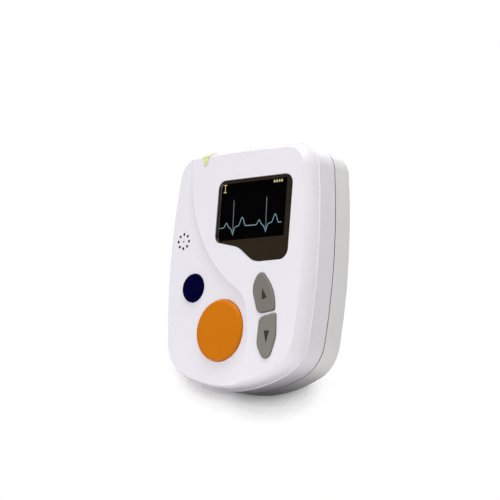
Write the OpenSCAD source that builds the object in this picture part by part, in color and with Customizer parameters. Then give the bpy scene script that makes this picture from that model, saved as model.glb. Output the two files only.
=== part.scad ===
// Ambulatory heart recorder with a colour screen, worn on a belt or in a pouch.
// Drawn lying on its back: X across, Y towards the top end, Z out of the face.
// At the end stand() turns it upright: foot on Z = 0, face towards -Y.

/* [Case] */
// Width across the rim
case_w = 80; // [79:0.5:86]
// Height from the foot to the top end
case_h = 100.5; // [99.5:0.5:106]
// Thickness from the back to the raised face
case_t = 27; // [26.8:0.1:29]
// Height of the parting line above the back
parting_z = 11.1; // [10:0.1:11.4]
// Radius of the bowed long sides
side_r = 265; // [220:5:400]
// Height of the widest place above the foot
widest_y = 52.5; // [46:0.5:58]
// Radius of the rounded foot
foot_r = 68; // [62:1:90]
// Width of the small flat that the case stands on
foot_flat = 5; // [3:0.5:6]
// Radius of the nearly straight top end
crown_r = 600; // [400:10:900]
// Corner radius at the top end
top_corner_r = 11.5; // [10.5:0.5:14]
// Corner radius at the foot
foot_corner_r = 17; // [14:0.5:20]
// Wall thickness of both shells
wall = 2.05; // [1.8:0.05:2.3]
// Edge radius round the back
back_edge_r = 3; // [2:0.25:4]

/* [Face] */
// Width of the sloping shoulder round the face
shoulder_w = 2.9; // [2.4:0.1:3.4]
// Slope of the shoulder where it leaves the face
shoulder_top_deg = 50; // [44:1:54]
// Slope of the shoulder where it meets the rim
shoulder_rim_deg = 86; // [80:1:88]
// How far the rim stands proud of the side walls
rim_proud = 0.4; // [0.2:0.05:0.7]
// Height of the rim band
rim_h = 0.7; // [0.4:0.1:1.2]
// Width of the flat lip on top of the rim
rim_lip = 0.35; // [0.2:0.05:0.6]
// How far the left field lies below the raised field
field_drop = 1.4; // [1:0.1:1.6]
// Width of the hollow curve below the raised field, at the top end
cove_top_w = 2.2; // [1.5:0.1:4]
// Width of the hollow curve beside the buttons
cove_w = 7; // [4:0.5:8]
// Height of the sharp step at the edge of the raised field
step_h = 0.45; // [0.2:0.05:0.8]
// Radius of the long upper sweep of the step
sweep_r = 61; // [58:0.5:64]
// Radius of the turn beside the round button
turn_r = 13; // [11.5:0.5:14]
// Radius of the lower sweep of the step
lower_sweep_r = 46.8; // [44:0.2:50]

/* [Screen] */
// Width of the lit area
screen_w = 36.5; // [34:0.5:37]
// Height of the lit area
screen_h = 23.8; // [22:0.2:24.6]
// Thickness of the smoked window
window_t = 1.6; // [1.2:0.1:1.8]
// Thickness of the adhesive under the window
tape_t = 0.2; // [0.1:0.05:0.3]
// Border of the display glass round the lit area
glass_border = 2.2; // [1.6:0.1:2.4]
// Thickness of the display glass below its lit cell
glass_t = 1.9; // [1.4:0.1:2.2]

/* [Buttons] */
// Diameter of the round event button
mark_d = 25.3; // [23:0.1:26]
// How far the event button stands out of its field
mark_proud = 1.8; // [1.2:0.1:2.4]
// Edge radius of the event button
mark_edge = 1.6; // [1:0.1:1.8]
// Travel of the event button
mark_travel = 0.6; // [0.3:0.05:0.6]
// Diameter of the blue button
menu_d = 11.7; // [10.5:0.1:12.5]
// How far the blue button stands out of its field
menu_proud = 1; // [0.6:0.1:1.6]
// Travel of the blue button and of both keys
key_travel = 0.5; // [0.3:0.05:0.6]
// How far the keys stand out of the raised field
key_proud = 0.8; // [0.5:0.1:1.2]
// Gap round each button and key
button_gap = 0.25; // [0.2:0.05:0.35]
// Width of the flange that keeps a button in
flange_w = 0.9; // [0.7:0.1:1.2]
// Thickness of that flange
flange_t = 1; // [0.8:0.1:1.2]

/* [Batteries] */
// Diameter of a cell
cell_d = 14.5; // [14:0.1:14.6]
// Length of a cell over its nub
cell_len = 50.5; // [49.5:0.1:50.8]
// Room that a contact spring takes
spring_len = 5.5; // [5:0.1:6.5]
// Thickness of the battery cover
cover_t = 1.8; // [1.6:0.1:2]
// Gap round the battery cover
cover_gap = 0.3; // [0.2:0.05:0.4]
// Distance of the battery bay from the foot
bay_y = 22; // [21.5:0.5:23]

/* [Sockets] */
// Width of the lead socket shell
lead_w = 30; // [26:0.5:34]
// Height of the lead socket shell
lead_h = 5.8; // [5:0.1:6]
// Depth of the lead socket shell
lead_depth = 9; // [8:0.5:11]
// Contacts in each of the two rows
lead_count = 10; // [7:1:12]
// Width of the data socket shell
data_w = 7.8; // [7:0.1:8.5]
// Height of the data socket shell
data_h = 3.2; // [2.8:0.1:3.6]

/* [Board] */
// Thickness of the circuit board
board_t = 1.2; // [1:0.1:1.4]
// Side of a push switch
switch_w = 6; // [5:0.5:7]
// Height of a push switch body
switch_h = 1.7; // [1.5:0.1:1.8]
// Diameter of a switch plunger
plunger_d = 3.4; // [3:0.1:4]
// Diameter of the sounder
sounder_d = 9.6; // [8:0.1:9.8]
// Radius of the ring of sound holes
sound_ring_r = 3; // [2.4:0.1:3.4]
// Diameter of a sound hole
sound_hole_d = 1.25; // [0.9:0.05:1.4]

/* [Screws] */
// Diameter of a case screw
case_screw_d = 2.2; // [2:0.1:2.6]
// Diameter of a board screw
board_screw_d = 2; // [1.8:0.1:2.2]
// Clearance of a screw in its hole
screw_clear = 0.1; // [0.05:0.05:0.15]

/* [Hidden] */

// Small gaps: a loose seat, a close fit, a socket's mouth behind its wall, and the overshoot of a cut
seat = 0.1;
fit = 0.15;
mouth_in = 0.3;
past = 1;

// Heights of the stack, measured from the back of the case
cell_gap = 0.4;
cell_top_gap = 0.2;
cell_z = cover_t + cell_gap + cell_d / 2;
bay_roof_z = cover_t + cell_gap + cell_d + cell_top_gap;
bay_wall = 1.2;
bay_roof_t = 1;
board_gap = 0.4;
board_z = bay_roof_z + bay_roof_t + board_gap;
board_top = board_z + board_t;
face_z = case_t;
field_z = case_t - field_drop;
field_wall = 2;
ceiling_z = field_z - field_wall;
cavity_in = rim_proud + wall;
cavity_round = 2;
cavity_chamfer = 0.6;
key_top = face_z + key_proud;
mark_top = field_z + mark_proud;
menu_top = field_z + menu_proud;
total_t = max(key_top, mark_top, menu_top);

// Shoulder: an arc that swings from shoulder_top_deg to shoulder_rim_deg
shoulder_r = (shoulder_w - rim_lip) / (sin(shoulder_rim_deg) - sin(shoulder_top_deg));
rim_z = face_z - shoulder_r * (cos(shoulder_top_deg) - cos(shoulder_rim_deg));
shoulder_steps = 8;

// Groove that shows as the parting line
groove_h = 0.35;
groove_d = 0.8;

// Outline of the case: centres of its arcs, right half
side_c = [case_w / 2 - side_r, widest_y];
foot_c = [0, foot_r];
crown_c = [0, case_h - crown_r];
low_c = meet(side_c, side_r - foot_corner_r, foot_c, foot_r - foot_corner_r, -1);
top_c = meet(side_c, side_r - top_corner_r, crown_c, crown_r - top_corner_r, 1);
foot_end = turn_of(low_c - foot_c) + 360;
foot_steps = 6;
foot_step = (foot_end - 270) / (foot_steps + 1);
side_steps = 6;
corner_steps = 9;
crown_steps = 2;
side_start = turn_of(low_c - side_c);
side_end = turn_of(top_c - side_c);
crown_start = turn_of(top_c - crown_c);

// Middle of the bridge between the two keys: the buttons are placed from it
bridge_share = 0.291;
bridge_c = [15.65, bridge_share * case_h];
bridge_deg = 8.4;
bridge_gap = 0.3;

// Centres of the buttons
mark_c = bridge_c + [-22.05, -4.85];
menu_c = bridge_c + [-39.15, 13.55];

// Keys: corner points from the middle of the bridge, each with its radius
up_points = [
    for (q = [[8.65, 1.85, 0.9], [8.25, 9.55, 18], [-0.5, 19.15, 2.6], [-4.75, 11.85, 8], [-0.55, 0.75, 3.2]])
        [bridge_c.x + q.x, bridge_c.y + q.y, q.z]
];
down_points = [
    for (q = [[9.4, 0.75, 0.9], [0.6, -0.85, 2.2], [-0.05, -11.85, 6], [6.05, -21.05, 2.95], [10.2, -9.05, 12]])
        [bridge_c.x + q.x, bridge_c.y + q.y, q.z]
];
up_c = bridge_c + [2.15, 8.75];
down_c = bridge_c + [4.95, -8.25];
up_reach = 17.5;
key_edge = 0.7;
key_edge_steps = 4;
key_round_steps = 6;

// Window: corner points from its low left corner, each with its radius; a quarter of the room
// that is left between the keys and the top end lies below it
window_h = 34.8;
window_low = bridge_c.y + up_reach + (case_h - bridge_c.y - up_reach - window_h) / 4;
window_x = -11.9;
window_points = [
    for (
        q = [
            [0.3, window_h, 3.4], [0, 9.5, 3.2], [13.4, 6.6, 12], [22.5, 0, 9],
            [40.8, 0.1, 4.2], [41.2, window_h, 4.2]
        ]
    )
        [window_x + q.x, window_low + q.y, q.z]
];
screen_down = 13.25;
screen_c = [8.05, window_low + window_h - screen_down];

// Step between the fields: three arcs that run into each other
sweep_c = screen_c + [25.25, 20.45];
lower_c = bridge_c + [-52.45, -8.85];
turn_c = meet(sweep_c, sweep_r + turn_r, lower_c, lower_sweep_r - turn_r, 1);
sweep_end = turn_of(turn_c - sweep_c) + 360;
turn_start = turn_of(sweep_c - turn_c);
turn_end = turn_of(turn_c - lower_c);
sweep_start = 170;
lower_end = -40;
sweep_steps = 14;
turn_steps = 6;
lower_steps = 8;
cove_steps = 6;
cove_full_y = 52;

window_top_in = 0.1;
window_z = face_z - window_top_in - window_t;
tape_in = 0.4;
screen_frame = 0.5;
screen_r = 1;
tape_r = 2.2;

// Display stack under the window: the lit cell reaches up into the opening of the front wall
glass_w = screen_w + 2 * glass_border;
glass_h = screen_h + 2 * glass_border;
glass_sunk = 0.6;
lit_top = window_z - tape_t - seat;
glass_top = ceiling_z - glass_sunk;
glass_z = glass_top - glass_t;
glass_low_y = screen_c.y - glass_h / 2;
tray_t = 0.7;
tray_r = 1.2;
tray_floor = 3;
tray_floor_r = 2;
glass_r = 0.6;
flex_w = 16;
flex_t = 0.25;
flex_side = 0.5;
flex_steps = 8;
flex_run = [2.2, 2.6];
ribbon_z = glass_z + 0.4;
ribbon_low_z = board_top + 0.6;
connector_w = 3;
connector_h = 1.4;
connector_end = 1.5;
connector_bite = 1;
connector_y = glass_low_y - flex_run[0] - flex_run[1] - connector_w / 2;

// Button stack
flange_gap = 0.3;
post_low = 0.4;
flange_z = ceiling_z - flange_gap - flange_t;
plunger_top = flange_z - post_low;
plunger_len = 1.3;
shell_t = 1.5;

// Sounder and its holes
sound_y = 0.625 * case_h;
sound_in = 8.5;
sound_c = [sound_in - half_width(sound_y), sound_y];
sound_holes = 8;
sound_mid_share = 0.65;
sounder_t = 2.6;
sounder_gap = 0.4;
sounder_rib = 0.7;
sounder_port_r = 1;

// Status light
light_x = -20.3;
light_y = case_h - 6.9;
light_tip = 1.2;
light_wide = 3.6;
light_proud = 0.25;
light_depth = 4.6;
light_wide_down = 3;
light_foot_y = light_y - 0.4;
light_foot_in = 0.3;
light_foot_h = 4;
light_gap = 0.3;
led_w = 3;
led_d = 1.6;
led_h = 1.2;

// Battery bay
plate_t = 0.4;
bay_clear = 0.5;
bay_spare = 1.8;
bay_w = cell_len + spring_len + 2 * plate_t;
bay_h = 2 * cell_d + bay_spare;
bay_top = bay_y + bay_h;
lower_cell_y = bay_y + bay_clear + cell_d / 2;
upper_cell_y = bay_top - bay_clear - cell_d / 2;
cover_lip = 2.2;
cover_r = 3;
cover_w = bay_w + 2 * cover_lip;
cover_h = bay_h + 2 * cover_lip;
cover_c = [0, bay_y + bay_h / 2];
cover_top = bay_top + cover_lip;
cover_low = bay_y - cover_lip;
ledge_t = 1.4;
tab_w = 8;
tab_x = 17;
tab_t = 0.9;
tab_reach = 1.7;
tab_root = 1;
grip_count = 3;
grip_w = 12;
grip_h = 1;
grip_deep = 0.5;
grip_up = 5;
grip_pitch = 2.2;
plate_tab_w = 3;
plate_w = 11;

// Parts on the board: the shield can lies midway between the lead socket and the battery bay
can_w = 34;
can_h = 22;
can_t = 3;
can_r = 0.8;
can_metal = 0.4;
can_c = [0, (case_h - rim_proud - mouth_in - lead_depth + bay_top + bay_wall) / 2];
chip_c = screen_c + [-28.5, 5];
chip_w = 10;
chip_t = 1.2;
memory_w = 8;
memory_h = 6;
memory_t = 1;
memory_places = [for (down = [7, 15]) screen_c - [27.5, down]];
clock_c = screen_c + [16, -11];
clock_r = 3.4;
clock_t = 2.1;

// Lead socket in the top end and data socket in the left side, both under the board
socket_gap = 0.25;
shell_metal = 0.4;
core_t = 1.6;
tongue_in = 1.6;
pin_t = 0.15;
pin_share = 0.45;
pin_in = 0.6;
lead_tongue_in = 5;
lead_z = board_z - lead_h;
lead_mouth_y = case_h - rim_proud - mouth_in;
lead_tongue_w = lead_w - lead_tongue_in;
lead_tongue_t = 1.5;
lead_r = 1.4;
data_r = 1.3;
data_z = board_z - data_h;
data_y = can_c.y;
data_len = 7;
data_reach = 6;
data_tongue_in = 2.4;
data_tongue_t = 0.7;
data_mouth_x = rim_proud + mouth_in - half_width(data_y);

// Nub and edge of a cell
nub_r = 2.7;
nub_h = 1.1;
cell_edge = 0.5;

// Contact springs
spring_wire = 0.7;
spring_turns = 4;
spring_big_r = 4.2;
spring_small_r = 2.7;
spring_rings = 8;
spring_sides = 6;
spring_run = spring_len - spring_wire - seat;

// Screw places and sizes
boss_r = 3;
boss_in = 6.8;
boss_top_deg = 45;
boss_low_deg = -35;
boss_top = top_c + (top_corner_r - boss_in) * polar(boss_top_deg);
boss_low = low_c + (foot_corner_r - boss_in) * polar(boss_low_deg);
well_r = 2.4;
well_floor = 6;
head_r = 2.1;
head_t = 1.3;
case_screw_len = 12;
case_screw_bite = 7.5;
board_in = 4.2;
standoff_r = 2.3;
board_screw_bite = 3.2;
drive_share = 0.45;
lip_h = 0.8;
lip_t = 0.9;
board_side_in = 6.8;
board_side_down = 21;
board_boss_off = [-7.2, 0.8];
board_foot_place = [15, 9.5];
board_places = [
    [board_side_in - half_width(case_h - board_side_down), case_h - board_side_down],
    boss_top + board_boss_off,
    board_foot_place,
    [-board_foot_place.x, board_foot_place.y]
];
board_notch = 0.4;
board_screw_spare = 0.4;
board_head_r = 1.9;
board_head_t = 1.1;

// Corner of a rounded outline: points of the arc of radius r at b, between a and c
function unit(v) = v / norm(v);
function turn_of(v) = atan2(v.y, v.x);
function polar(a) = [cos(a), sin(a)];
function nearest(a) = a > 180 ? a - 360 : a < -180 ? a + 360 : a;
function corner(a, b, c, r) =
    let (
        u = unit(a - b),
        w = unit(c - b),
        half = acos(u * w) / 2,
        start = b + u * r / tan(half),
        centre = b + unit(u + w) * r / sin(half),
        end = b + w * r / tan(half),
        from = turn_of(start - centre),
        sweep = nearest(turn_of(end - centre) - from)
    )
    [for (k = [0:key_round_steps]) centre + r * polar(from + sweep * k / key_round_steps)];
function flat(p) = [p.x, p.y];
function rounded(points) =
    let (n = len(points))
    [
        for (i = [0:n - 1])
            each corner(
                flat(points[(i + n - 1) % n]), flat(points[i]), flat(points[(i + 1) % n]), points[i][2]
            )
    ];

// Half the width of the case at height y, along its bowed sides
function half_width(y) = side_c.x + sqrt(pow(side_r, 2) - pow(y - widest_y, 2));

// Where two circles about p and q cross, on the given side of the line p to q
function meet(p, p_r, q, q_r, side) =
    let (
        gap = norm(q - p),
        u = (q - p) / gap,
        along = (p_r * p_r - q_r * q_r + gap * gap) / (2 * gap),
        across = sqrt(p_r * p_r - along * along)
    )
    p + along * u + side * across * [-u.y, u.x];

// Outline of the case, drawn in by inset, with a few points on each arc
function arc(c, r, from, to, steps) =
    [for (k = [0:steps - 1]) c + r * polar(from + (to - from) * k / steps)];
function half_outline(inset) = concat(
    [[foot_flat / 2 * (1 - inset / foot_r), inset]],
    arc(foot_c, foot_r - inset, 270 + foot_step, foot_end, foot_steps),
    arc(low_c, foot_corner_r - inset, foot_end - 360, side_start, corner_steps),
    arc(side_c, side_r - inset, side_start, side_end, side_steps),
    arc(top_c, top_corner_r - inset, side_end, crown_start, corner_steps),
    arc(crown_c, crown_r - inset, crown_start, 90, crown_steps)
);
function outline(inset) =
    let (right = half_outline(inset), n = len(right))
    concat(
        right,
        [[0, case_h - inset]],
        [for (k = [n - 1:-1:0]) [-right[k].x, right[k].y]]
    );

// Edge line of the raised field from the top end to the foot: [point, direction to its left, width of cove]
function edge_station(c, r, a, away) =
    let (q = c + r * polar(a))
    [q, away * polar(a), cove_top_w + (cove_w - cove_top_w) * ease((case_h - q.y) / (case_h - cove_full_y))];
function ease(u) = let (v = min(max(u, 0), 1)) v * v * (3 - 2 * v);
function edge_stations(c, r, from, to, steps, away) =
    [for (k = [0:steps - 1]) edge_station(c, r, from + (to - from) * k / steps, away)];
edge_line = concat(
    edge_stations(sweep_c, sweep_r, sweep_start, sweep_end, sweep_steps, 1),
    edge_stations(turn_c, turn_r, turn_start, turn_end, turn_steps, -1),
    edge_stations(lower_c, lower_sweep_r, turn_end, lower_end, lower_steps, -1),
    [edge_station(lower_c, lower_sweep_r, lower_end, -1)]
);

// One row of the low field's floor, from far on the left to the foot of the step
function field_row(s) = concat(
    [[-case_w, s[0].y, field_z]],
    [
        for (k = [0:cove_steps])
            let (u = k / cove_steps, q = s[0] + s[2] * (1 - u) * s[1])
            [q.x, q.y, field_z + (field_drop - step_h) * u * u]
    ]
);

// Centre line of a contact spring and its least gap to itself
spring_path = [
    for (i = [0:spring_turns * spring_rings])
        let (
            u = i / (spring_turns * spring_rings),
            t = 360 * spring_turns * u,
            r = spring_big_r + (spring_small_r - spring_big_r) * u
        )
        [spring_wire / 2 + spring_run * u, r * cos(t), r * sin(t)]
];
spring_gap = min([
    for (i = [0:len(spring_path) - spring_rings], j = [i + spring_rings / 2:len(spring_path) - 1])
        norm(spring_path[i] - spring_path[j])
]) - spring_wire;

// Side view of the display ribbon between its two straight ends
function ribbon_at(u) = [
    glass_low_y - flex_run[0] - flex_run[1] * u,
    ribbon_z + (ribbon_low_z - ribbon_z) * (1 - cos(180 * u)) / 2
];

// Closed solid through levels of mirrored outlines, lowest level first; the ends are cut into strips
module loft(levels) {
    n = len(levels[0]);
    m = len(levels);
    half_n = (n - 1) / 2;
    top = (m - 1) * n;
    polyhedron(
        points = [for (level = levels) each level],
        faces = concat(
            [for (j = [0:half_n - 2]) [j, j + 1, n - 2 - j, n - 1 - j]],
            [for (j = [0:half_n - 2]) [top + n - 1 - j, top + n - 2 - j, top + j + 1, top + j]],
            [[half_n - 1, half_n, half_n + 1], [top + half_n + 1, top + half_n, top + half_n - 1]],
            [
                for (k = [0:m - 2], j = [0:n - 1], half = [0, 1])
                    let (a = k * n + j, b = k * n + (j + 1) % n)
                    half == 0 ? [a, a + n, b + n] : [a, b + n, b]
            ]
        ),
        convexity = 4
    );
}

// Solid over a grid of floor points, closed by a level top
module over_grid(rows, high) {
    n = len(rows);
    m = len(rows[0]);
    top = n * m;
    polyhedron(
        points = concat(
            [for (row = rows) each row],
            [for (row = rows) each [for (q = row) [q.x, q.y, high]]]
        ),
        faces = concat(
            [
                for (i = [0:n - 2], k = [0:m - 2], half = [0, 1])
                    let (a = i * m + k, b = a + m)
                    half == 0 ? [a, b, b + 1] : [a, b + 1, a + 1]
            ],
            [
                for (i = [0:n - 2], k = [0:m - 2], half = [0, 1])
                    let (a = top + i * m + k, b = a + m)
                    half == 0 ? [a, b + 1, b] : [a, a + 1, b + 1]
            ],
            [
                for (i = [0:n - 2], half = [0, 1])
                    let (a = i * m, b = a + m)
                    half == 0 ? [a, b + top, b] : [a, a + top, b + top]
            ],
            [
                for (i = [0:n - 2], half = [0, 1])
                    let (a = i * m + m - 1, b = a + m)
                    half == 0 ? [a, b, b + top] : [a, b + top, a + top]
            ],
            [
                for (k = [0:m - 2], half = [0, 1])
                    half == 0 ? [k, k + 1 + top, k + top] : [k, k + 1, k + 1 + top]
            ],
            [
                for (k = [0:m - 2], half = [0, 1])
                    let (a = (n - 1) * m + k)
                    half == 0 ? [a, a + top, a + 1 + top] : [a, a + 1 + top, a + 1]
            ]
        ),
        convexity = 4
    );
}

// Solid with the outline of the case and the given edge profile, lowest point first
module case_solid(profile) {
    loft([for (p = profile) [for (q = outline(p[0])) [q.x, q.y, p[1]]]]);
}

// Plate with the outline of the case, drawn in by inset
module case_plate(inset, low, high) {
    translate([0, 0, low])
        linear_extrude(high - low)
            polygon(outline(inset));
}

// Edge profile of the rim and shoulder, pushed out by grow
function front_profile(grow) = concat(
    [
        [rim_proud - grow, parting_z],
        [rim_proud - grow, rim_z - rim_h],
        [-grow, rim_z - rim_h],
        [-grow, rim_z + grow * cos(shoulder_rim_deg)]
    ],
    [
        for (k = [0:shoulder_steps])
            let (a = shoulder_rim_deg + (shoulder_top_deg - shoulder_rim_deg) * k / shoulder_steps)
            [
                rim_lip + shoulder_r * (sin(shoulder_rim_deg) - sin(a)) - grow * sin(a),
                rim_z + shoulder_r * (cos(a) - cos(shoulder_rim_deg)) + grow * cos(a)
            ]
    ]
);

// Edge profile of the rear shell, with a rounded back edge and the parting groove
back_steps = 6;
rear_profile = concat(
    [
        for (k = [0:back_steps])
            let (a = 90 * k / back_steps)
            [rim_proud + back_edge_r * (1 - sin(a)), back_edge_r * (1 - cos(a))]
    ],
    [
        [rim_proud, parting_z - groove_h],
        [rim_proud + groove_d, parting_z - groove_h],
        [rim_proud + groove_d, parting_z]
    ]
);

// Edge profile of the front cavity
front_cavity = [
    [cavity_in, parting_z - past],
    [cavity_in, ceiling_z - cavity_round],
    [cavity_in + cavity_chamfer, ceiling_z - cavity_chamfer],
    [cavity_in + cavity_round, ceiling_z]
];

// Outside of the front shell: rim and shoulder, less the hollow above the low field
module front_body() {
    difference() {
        case_solid(front_profile(0));
        over_grid([for (s = edge_line) field_row(s)], face_z + past);
    }
}

// Rounded outline grown by g, as a prism
module prism(points, g, low, high) {
    translate([0, 0, low])
        linear_extrude(high - low)
            if (g == 0)
                polygon(rounded(points));
            else
                offset(delta = g)
                    polygon(rounded(points));
}

// Upright cylinder at a place on the face
module post(c, r, low, high) {
    translate([c.x, c.y, low])
        cylinder(r = r, h = high - low, $fn = 64);
}

// Block centred on a place, from low to high
module block(c, w, h, low, high) {
    translate([c.x - w / 2, c.y - h / 2, low])
        cube([w, h, high - low]);
}

// Block with rounded upright edges
module soft_block(c, w, h, r, low, high) {
    translate([c.x, c.y, 0])
        prism([[w / 2, h / 2, r], [-w / 2, h / 2, r], [-w / 2, -h / 2, r], [w / 2, -h / 2, r]], 0, low, high);
}

// The four case screw places
module at_case_screws() {
    for (side = [-1, 1], b = [boss_top, boss_low])
        translate([side * b.x, b.y, 0])
            children();
}

// The four board screw places
module at_board_screws() {
    for (p = board_places)
        translate([p.x, p.y, 0])
            children();
}

// Wedge of the status light as seen on the face
module light_wedge(g, low, high) {
    tip_y = light_y - g;
    wide_y = case_h - light_wide_down;
    translate([light_x, 0, low])
        linear_extrude(high - low)
            polygon([
                [-light_tip / 2 - g, tip_y], [light_tip / 2 + g, tip_y],
                [light_wide / 2 + g, wide_y], [light_wide / 2 + g, case_h + past],
                [-light_wide / 2 - g, case_h + past], [-light_wide / 2 - g, wide_y]
            ]);
}

// Front shell: fields, shoulder, rim, openings, bosses and standoffs
module front_case() {
    color("#e6e4ea")
        difference() {
            union() {
                difference() {
                    front_body();
                    case_solid(front_cavity);
                }
                at_case_screws()
                    translate([0, 0, parting_z])
                        cylinder(r = boss_r, h = ceiling_z - parting_z + seat, $fn = 64);
                at_board_screws()
                    translate([0, 0, board_top])
                        cylinder(r = standoff_r, h = ceiling_z - board_top + seat, $fn = 48);
                post(sound_c, sounder_d / 2 + fit + sounder_rib, ceiling_z - sounder_t, ceiling_z + seat);
            }
            at_case_screws()
                translate([0, 0, parting_z - past])
                    cylinder(r = case_screw_d / 2 + screw_clear, h = case_screw_bite + past, $fn = 48);
            at_board_screws()
                translate([0, 0, board_top - past])
                    cylinder(r = board_screw_d / 2 + screw_clear, h = board_screw_bite + past, $fn = 48);
            post(sound_c, sounder_d / 2 + fit, ceiling_z - sounder_t - past, ceiling_z);
            post(sound_c, sound_hole_d / 2 * sound_mid_share, ceiling_z - past, field_z + past);
            for (k = [0:sound_holes - 1])
                post(
                    sound_c + sound_ring_r * polar(90 + 360 * k / sound_holes),
                    sound_hole_d / 2, ceiling_z - past, field_z + past
                );
            prism(window_points, fit, window_z - tape_t, face_z + past);
            soft_block(
                screen_c, screen_w + 2 * screen_frame, screen_h + 2 * screen_frame, screen_r,
                ceiling_z - past, face_z
            );
            post(mark_c, mark_d / 2 + button_gap, ceiling_z - past, face_z + past);
            post(menu_c, menu_d / 2 + button_gap, ceiling_z - past, face_z + past);
            prism(up_points, button_gap, ceiling_z - past, face_z + past);
            prism(down_points, button_gap, ceiling_z - past, face_z + past);
            light_wedge(fit, face_z - light_depth - fit, face_z + past);
            block(
                [0, case_h], lead_w + 2 * socket_gap, 2 * lead_depth,
                lead_z - socket_gap, board_z + socket_gap
            );
            block(
                [-case_w / 2, data_y], 2 * data_reach, data_w + 2 * socket_gap,
                data_z - socket_gap, board_z + socket_gap
            );
        }
}

// Rear shell: rounded back, battery bay, screw wells and the inner lip
module rear_case() {
    color("#dddbe0")
        difference() {
            union() {
                difference() {
                    case_solid(rear_profile);
                    case_solid([
                        [cavity_in + cavity_round, wall],
                        [cavity_in + cavity_chamfer, wall + cavity_chamfer],
                        [cavity_in, wall + cavity_round],
                        [cavity_in, parting_z + past]
                    ]);
                }
                difference() {
                    union() {
                        case_plate(cavity_in - seat, wall + cavity_round, parting_z - lip_h);
                        case_plate(cavity_in + fit, parting_z - lip_h - seat, parting_z + lip_h);
                    }
                    case_plate(cavity_in + lip_t, wall, parting_z + lip_h + past);
                }
                block(
                    cover_c, bay_w + 2 * bay_wall, bay_h + 2 * bay_wall,
                    wall - seat, bay_roof_z + bay_roof_t
                );
                block(
                    cover_c, cover_w + 2 * bay_wall, cover_h + 2 * (bay_wall + tab_reach),
                    wall - seat, cover_t + ledge_t
                );
                at_case_screws()
                    cylinder(r = boss_r, h = parting_z, $fn = 64);
            }
            block(cover_c, bay_w, bay_h, -past, bay_roof_z);
            soft_block(cover_c, cover_w + 2 * cover_gap, cover_h + 2 * cover_gap, cover_r, -past, cover_t);
            for (side = [-1, 1])
                block(
                    [side * tab_x, (bay_top + bay_wall + cover_top + tab_reach + cover_gap) / 2],
                    tab_w + 2 * cover_gap, cover_lip + tab_reach + cover_gap - bay_wall,
                    cover_t - tab_t - fit, cover_t + ledge_t + past
                );
            at_case_screws()
                translate([0, 0, -past])
                    cylinder(r = well_r, h = well_floor + past, $fn = 64);
            at_case_screws()
                cylinder(r = case_screw_d / 2 + screw_clear, h = parting_z + past, $fn = 48);
            for (y = [lower_cell_y, upper_cell_y])
                block(
                    [plate_t + fit - bay_w / 2 - past, y], 2 * past, plate_tab_w + 2 * fit,
                    bay_roof_z - past, bay_roof_z + bay_roof_t + past
                );
        }
}

// Smoked window over the screen, nearly flush with the raised field
module display_window() {
    color("#241c16", 0.8)
        prism(window_points, 0, window_z, window_z + window_t);
}

// Adhesive frame under the window
module window_tape() {
    color("#1a1a1a")
        difference() {
            prism(window_points, -tape_in, window_z - tape_t, window_z);
            soft_block(
                screen_c, screen_w + 2 * screen_frame, screen_h + 2 * screen_frame, tape_r,
                window_z - tape_t - past, window_z + past
            );
        }
}

// Display glass with its lit area behind the window
module display_panel() {
    color("#050608") {
        soft_block(screen_c, glass_w, glass_h, glass_r, glass_z, glass_top);
        block(screen_c, screen_w, screen_h, glass_top, lit_top);
    }
}

// Tray that holds the display glass above the board
module display_frame() {
    high = glass_top - seat;
    color("#b9bcc2")
        difference() {
            soft_block(
                screen_c, glass_w + 2 * (fit + tray_t), glass_h + 2 * (fit + tray_t), tray_r,
                board_top, high
            );
            block(screen_c, glass_w + 2 * fit, glass_h + 2 * fit, glass_z, high + past);
            soft_block(
                screen_c, glass_w - 2 * tray_floor, glass_h - 2 * tray_floor, tray_floor_r,
                board_top - past, glass_z + seat
            );
            block(
                [screen_c.x, glass_low_y], flex_w + 2 * flex_side, 6 * tray_t,
                ribbon_low_z + flex_t + fit, high + past
            );
        }
}

// Ribbon from the display glass down to its connector on the board
module display_flex() {
    color("#b5722a")
        translate([screen_c.x - flex_w / 2, 0, 0])
            rotate([90, 0, 90])
                linear_extrude(flex_w)
                    polygon(concat(
                        [[glass_low_y, ribbon_z]],
                        [for (k = [0:flex_steps]) ribbon_at(k / flex_steps)],
                        [[connector_y + connector_w / 2 - connector_bite, ribbon_low_z]],
                        [[connector_y + connector_w / 2 - connector_bite, ribbon_low_z + flex_t]],
                        [for (k = [flex_steps:-1:0]) ribbon_at(k / flex_steps) + [0, flex_t]],
                        [[glass_low_y, ribbon_z + flex_t]]
                    ));
}

// Socket on the board that takes the ribbon
module display_connector() {
    color("#e8e2d0")
        difference() {
            block(
                [screen_c.x, connector_y], flex_w + 2 * connector_end, connector_w,
                board_top, board_top + connector_h
            );
            block(
                [screen_c.x, connector_y + connector_w / 2], flex_w + 2 * seat, 2 * (connector_bite + seat),
                ribbon_low_z - seat, ribbon_low_z + flex_t + seat
            );
        }
}

// Circuit board, notched round the case bosses
module main_board() {
    color("#1f6b3a")
        difference() {
            case_plate(board_in, board_z, board_top);
            at_case_screws()
                translate([0, 0, board_z - past])
                    cylinder(r = boss_r + board_notch, h = board_t + 2 * past, $fn = 64);
            at_board_screws()
                translate([0, 0, board_z - past])
                    cylinder(r = board_screw_d / 2 + screw_clear, h = board_t + 2 * past, $fn = 48);
        }
}

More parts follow.
